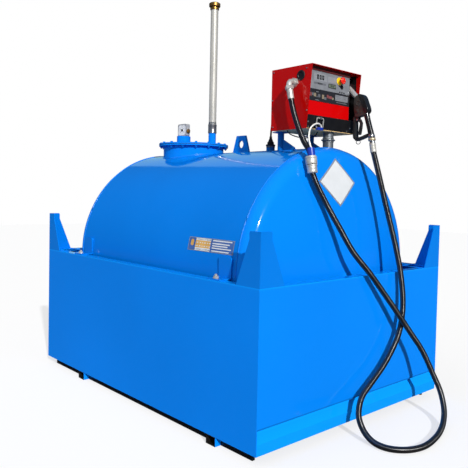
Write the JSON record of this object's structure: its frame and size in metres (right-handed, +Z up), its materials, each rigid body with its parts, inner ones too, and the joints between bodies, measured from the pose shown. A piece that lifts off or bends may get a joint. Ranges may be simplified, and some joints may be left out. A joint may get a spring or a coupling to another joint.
{
  "type": "diesel storage tank",
  "caption": "Cylindrical fuel tank lying in a sheet-steel bund, with a metering cabinet, an automatic nozzle on its hose, a vent pipe and a level gauge.",
  "frame": {"origin": "on the ground under the middle of the bund", "axes": "+X to the right of someone who faces the front, +Y from the dispensing end to the rear, +Z up"},
  "size_m": [1.24, 2.0644, 2.072],
  "materials": {
    "tank_blue": "gloss blue enamel on folded and welded sheet steel",
    "rail_black": "black paint, satin",
    "cabinet_red": "gloss red enamel",
    "panel_black": "black powder coat, satin",
    "fascia": "printed film over a metal plate, with grey plates and dark windows",
    "plated_steel": "zinc plated",
    "base_steel": "plain galvanised sheet",
    "brass": "dull cast brass",
    "chrome": "polished tube",
    "nozzle_black": "black plastic covers over a cast body",
    "hose_rubber": "smooth black rubber",
    "cable_black": "black cable sheath",
    "rope_white": "white plastic coat over a rope",
    "boot_blue": "blue moulded plastic",
    "gauge_grey": "grey moulded case with a pale dial",
    "stop_yellow": "yellow collar",
    "stop_red": "red push head"
  },
  "bodies": {
    "tank": {"bund_floor": "tank_blue", "left_wall": "tank_blue", "right_wall": "tank_blue", "front_wall": "tank_blue", "rear_wall": "tank_blue", "front_left_post": "tank_blue", "front_right_post": "tank_blue", "rear_left_post": "tank_blue", "rear_right_post": "tank_blue", "left_rail": "rail_black", "right_rail": "rail_black", "front_foot": "tank_blue", "rear_foot": "tank_blue", "tank_shell": "tank_blue", "front_head": "tank_blue", "rear_head": "tank_blue", "front_saddle": "tank_blue", "rear_saddle": "tank_blue", "left_brackets": "tank_blue", "right_brackets": "tank_blue", "manhole_neck": "tank_blue", "manhole_cover": "tank_blue", "gauge_stem": "tank_blue", "level_gauge": "gauge_grey", "gauge_plug": "brass", "vent_stub": "tank_blue", "vent_coupling": "plated_steel", "vent_pipe": "plated_steel", "vent_cap": "brass", "lifting_lug": "tank_blue", "probe_socket": "tank_blue", "probe_plug": "cable_black", "probe_cable": "cable_black", "cabinet_legs": "tank_blue", "suction_pipe": "plated_steel", "suction_union": "plated_steel", "cabinet_hood": "cabinet_red", "cabinet_back": "cabinet_red", "cabinet_base": "base_steel", "front_panel": "cabinet_red", "instrument_panel": "fascia", "lower_panel": "panel_black", "nozzle_bay": "panel_black", "under_lead": "cable_black", "stop_collar": "stop_yellow", "nozzle_body": "nozzle_black", "spout": "chrome", "hose_swivel": "plated_steel", "outlet_elbow": "plated_steel", "inlet_hose": "hose_rubber", "hose_coupling": "plated_steel", "delivery_hose": "hose_rubber", "rope_boot": "boot_blue", "rope": "rope_white", "rope_clamp": "boot_blue", "rope_ring": "plated_steel", "ring_clip": "plated_steel"},
    "trigger": {"trigger": "nozzle_black"},
    "stop_button": {"stop_button": "stop_red"}
  },
  "joints": [
    {"name": "nozzle_trigger", "type": "hinge", "parent": "tank", "child": "trigger", "pos_m": [0.135, -0.716, 1.344], "axis": [-1, 0, 0], "range_deg": [0, 18], "stiffness_Nm_per_rad": 1, "springref_deg": -11.46},
    {"name": "stop_button_press", "type": "slide", "parent": "tank", "child": "stop_button", "axis": [0, 1, 0], "range_m": [0, 0.004], "stiffness_N_per_m": 400, "springref_m": -0.002}
  ]
}
